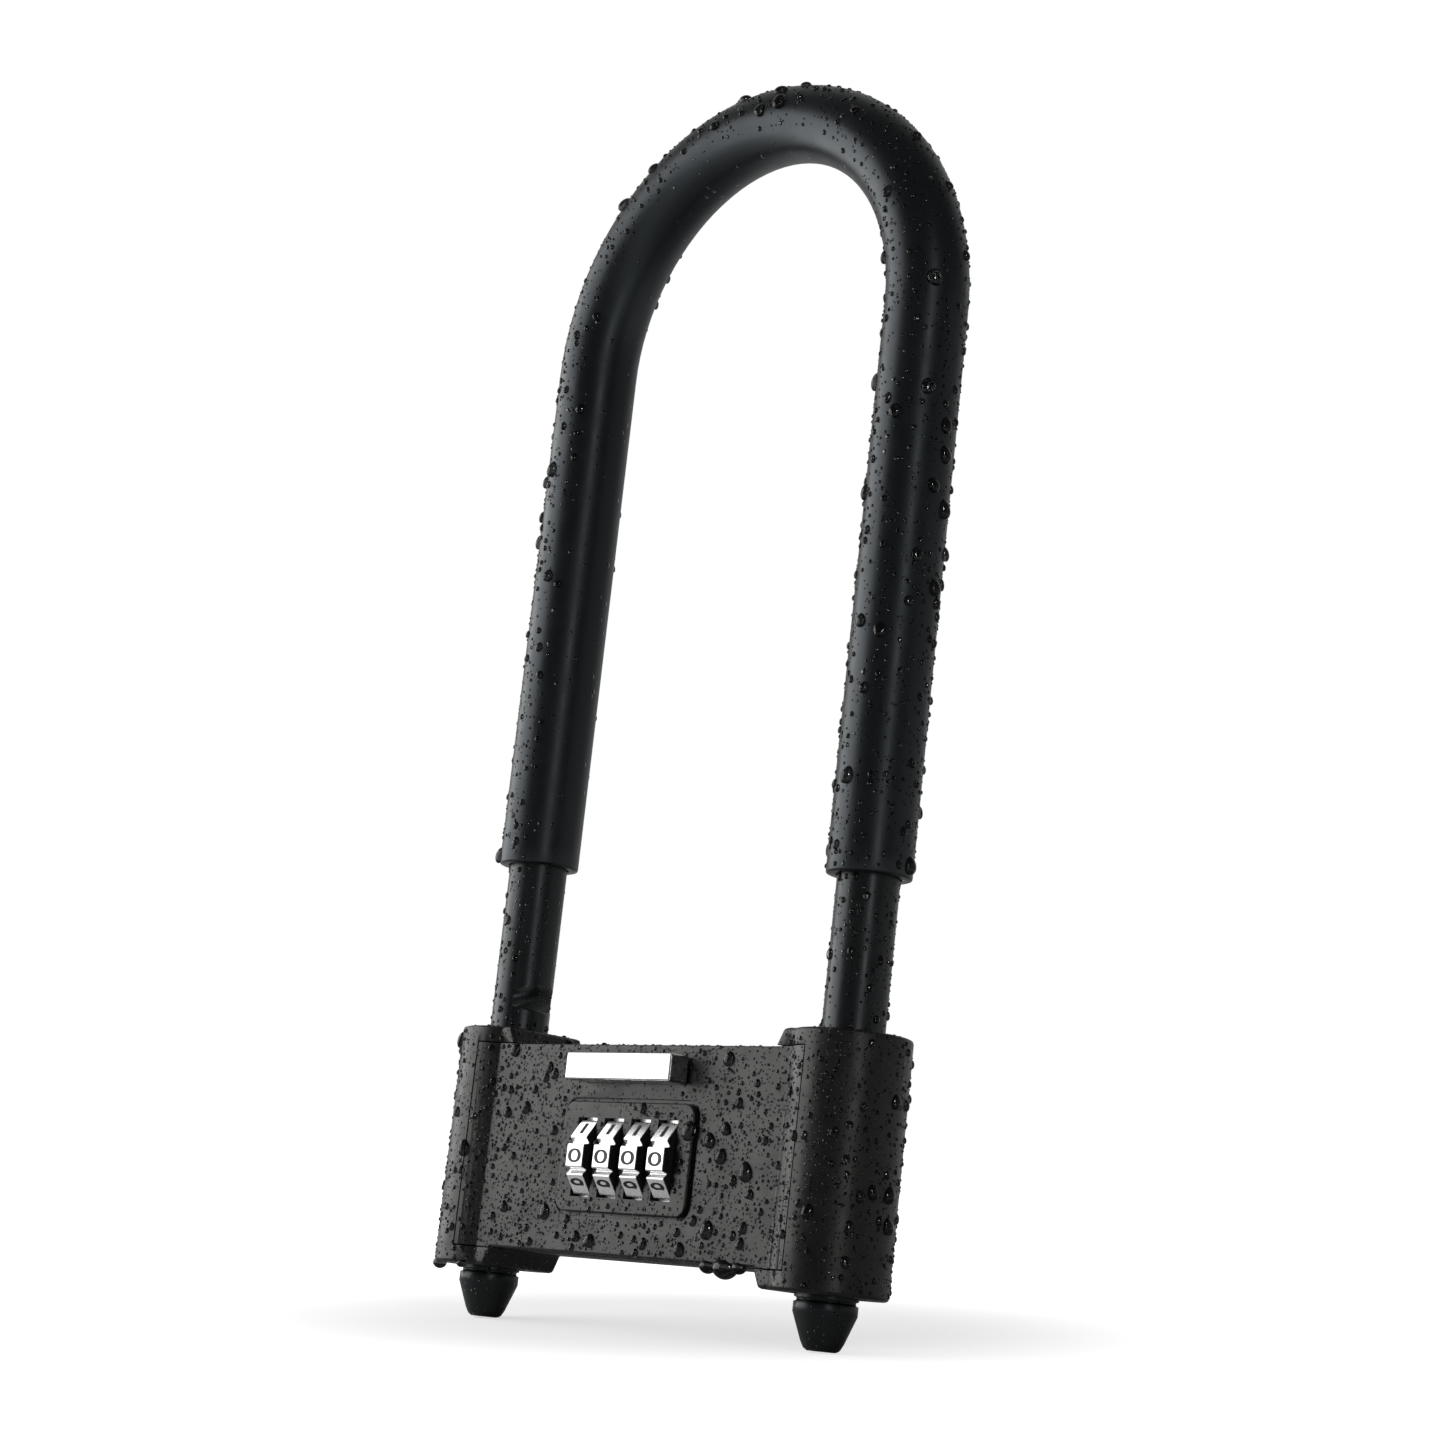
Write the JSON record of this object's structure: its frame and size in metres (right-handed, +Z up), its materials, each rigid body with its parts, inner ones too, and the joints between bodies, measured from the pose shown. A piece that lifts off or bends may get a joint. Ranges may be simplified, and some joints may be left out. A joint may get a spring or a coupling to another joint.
{
  "type": "combination u lock",
  "caption": "U-shaped bicycle lock: a rubber-sleeved steel shackle in a cast lock body with number wheels, a bright slider and an inner bolt.",
  "frame": {"origin": "middle of the outer box, on the plane of the two tips' ends", "axes": "+Z up along the legs towards the bend, -Y out of the front cover with the number wheels, +X to the right seen from the front"},
  "size_m": [0.1176, 0.0262, 0.2555],
  "materials": {
    "coated_steel": "black coated hardened steel, satin",
    "painted_casting": "black painted casting, satin",
    "sleeve_rubber": "smooth black rubber, satin",
    "chrome": "bright plated metal, lightly worn",
    "wheel_metal": "bright plated pads with black digits",
    "steel": "plain machined steel",
    "brass": "plain machined brass",
    "nylon": "moulded black nylon"
  },
  "bodies": {
    "lock_body": {"lock_housing": "painted_casting", "front_cover": "painted_casting", "cover_screw_1": "steel", "cover_screw_2": "steel", "cover_screw_3": "steel", "cover_screw_4": "steel", "leg_bush_upper_left": "nylon", "leg_bush_lower_left": "nylon", "leg_bush_upper_right": "nylon", "leg_bush_lower_right": "nylon", "wheel_cradle": "nylon", "detent_spring": "steel"},
    "shackle": {"shackle_rod": "coated_steel", "shackle_sleeve": "sleeve_rubber"},
    "slider": {"slider_knob": "chrome", "slider_carriage": "steel", "slider_screw_1": "steel", "slider_screw_2": "steel", "lock_bolt": "steel", "code_spindle": "steel"},
    "wheel_1": {"number_wheel_1": "wheel_metal", "code_sleeve_1": "brass"},
    "wheel_2": {"number_wheel_2": "wheel_metal", "code_sleeve_2": "brass"},
    "wheel_3": {"number_wheel_3": "wheel_metal", "code_sleeve_3": "brass"},
    "wheel_4": {"number_wheel_4": "wheel_metal", "code_sleeve_4": "brass"}
  },
  "joints": [
    {"name": "shackle_slide", "type": "slide", "parent": "lock_body", "child": "shackle", "axis": [0, 0, 1], "range_m": [-0.029, 0.062]},
    {"name": "slider_slide", "type": "slide", "parent": "lock_body", "child": "slider", "axis": [1, 0, 0], "range_m": [-0.004, 0]},
    {"name": "wheel_1_turn", "type": "hinge", "parent": "lock_body", "child": "wheel_1", "pos_m": [-0.0114, -0.0019, 0.0323], "axis": [1, 0, 0], "continuous": true},
    {"name": "wheel_2_turn", "type": "hinge", "parent": "lock_body", "child": "wheel_2", "pos_m": [-0.0038, -0.0019, 0.0323], "axis": [1, 0, 0], "continuous": true},
    {"name": "wheel_3_turn", "type": "hinge", "parent": "lock_body", "child": "wheel_3", "pos_m": [0.0038, -0.0019, 0.0323], "axis": [1, 0, 0], "continuous": true},
    {"name": "wheel_4_turn", "type": "hinge", "parent": "lock_body", "child": "wheel_4", "pos_m": [0.0114, -0.0019, 0.0323], "axis": [1, 0, 0], "continuous": true}
  ]
}
